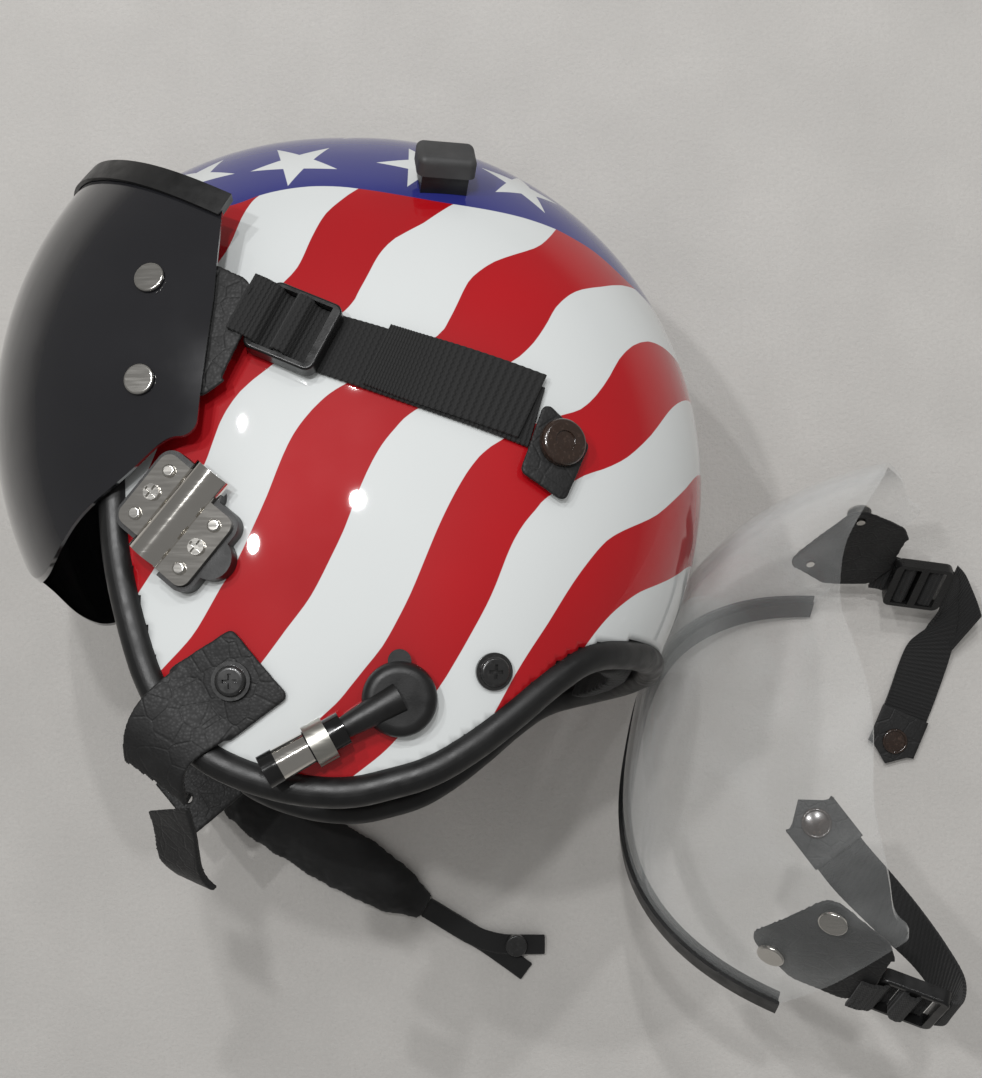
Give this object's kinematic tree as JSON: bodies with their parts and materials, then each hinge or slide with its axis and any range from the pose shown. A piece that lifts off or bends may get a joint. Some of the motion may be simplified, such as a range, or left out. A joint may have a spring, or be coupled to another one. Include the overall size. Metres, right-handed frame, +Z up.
{
  "type": "pilot flight helmet",
  "caption": "Hard-shell flight helmet lying on its side, with a hinged smoke visor, mask receivers, comm plug, chin strap and a spare clear visor.",
  "frame": {"origin": "on the ground under the middle of the group's bounding box", "axes": "+Z up from the ground, +X towards the back of the head of the helmet as it lies, +Y towards its crown"},
  "size_m": [0.47, 0.4352, 0.2848],
  "materials": {
    "gloss_paint": "deep gloss paint in red, white and navy over a moulded composite shell",
    "edge_rubber": "matt black moulded rubber",
    "liner_foam": "dense black foam",
    "pad_cloth": "black padded cloth",
    "cup_plastic": "moulded black plastic",
    "seal_leather": "soft black leather",
    "receiver_chrome": "polished chrome",
    "steel": "bright steel",
    "black_steel": "black enamelled metal",
    "leather": "black leather",
    "webbing": "black woven webbing",
    "plug_plastic": "gloss black plastic",
    "bumper_grey": "dark grey rubber",
    "smoke_lens": "dark tinted lens, near opaque",
    "clear_lens": "clear moulded lens",
    "buckle_plastic": "black moulded plastic"
  },
  "bodies": {
    "helmet": {"back_pad": "pad_cloth", "brow_pad": "pad_cloth", "bumper_head": "bumper_grey", "bumper_neck": "edge_rubber", "chin_screws": "black_steel", "chin_tab_left": "leather", "chin_tab_right": "leather", "comm_boot": "edge_rubber", "crown_pad": "pad_cloth", "ear_cup_left": "cup_plastic", "ear_cup_right": "cup_plastic", "ear_seal_left": "seal_leather", "ear_seal_right": "seal_leather", "earphone_left": "cup_plastic", "earphone_right": "cup_plastic", "edge_roll": "edge_rubber", "foam_liner": "liner_foam", "nape_pad": "pad_cloth", "outer_shell": "gloss_paint", "plug_body": "plug_plastic", "plug_clip": "steel", "plug_nose": "plug_plastic", "plug_sleeve": "receiver_chrome", "receiver_base_left": "edge_rubber", "receiver_base_right": "edge_rubber", "receiver_plate_left": "receiver_chrome", "receiver_plate_right": "receiver_chrome", "receiver_screws": "steel", "receiver_studs": "receiver_chrome", "side_screws": "black_steel", "snap_cap_left": "black_steel", "snap_cap_right": "black_steel", "snap_posts": "black_steel", "strap_tab_left": "leather", "strap_tab_right": "leather", "visor_strap_left": "webbing", "visor_strap_right": "webbing"},
    "visor": {"visor_brow_trim": "edge_rubber", "visor_buckle_left": "buckle_plastic", "visor_buckle_right": "buckle_plastic", "visor_lens": "smoke_lens", "visor_rivets": "steel", "visor_yoke_left": "leather", "visor_yoke_right": "leather"},
    "chin_strap": {"chin_sleeve": "pad_cloth", "chin_snap": "black_steel", "chin_strap": "webbing"},
    "spare_visor": {"spare_brow_trim": "edge_rubber", "spare_buckle_left": "buckle_plastic", "spare_buckle_right": "buckle_plastic", "spare_lens": "clear_lens", "spare_rivets": "steel", "spare_yoke_left": "leather", "spare_yoke_right": "leather"}
  },
  "joints": [
    {"name": "visor_raise", "type": "hinge", "parent": "helmet", "child": "visor", "pos_m": [-0.06767, 0.07848, 0.12861], "axis": [-0.0681, -0.2164, -0.9739], "range_deg": [0, 50], "deforming": ["visor_strap_left", "visor_strap_right"]},
    {"name": "chin_strap_swing", "type": "hinge", "parent": "helmet", "child": "chin_strap", "pos_m": [-0.16702, -0.10477, 0.06753], "axis": [0, 0, 1], "range_deg": [-90, 0]},
    {"name": "spare_visor_slide", "type": "slide", "parent": "helmet", "child": "spare_visor", "axis": [1, 0, 0], "range_m": [0, 0.15]}
  ]
}
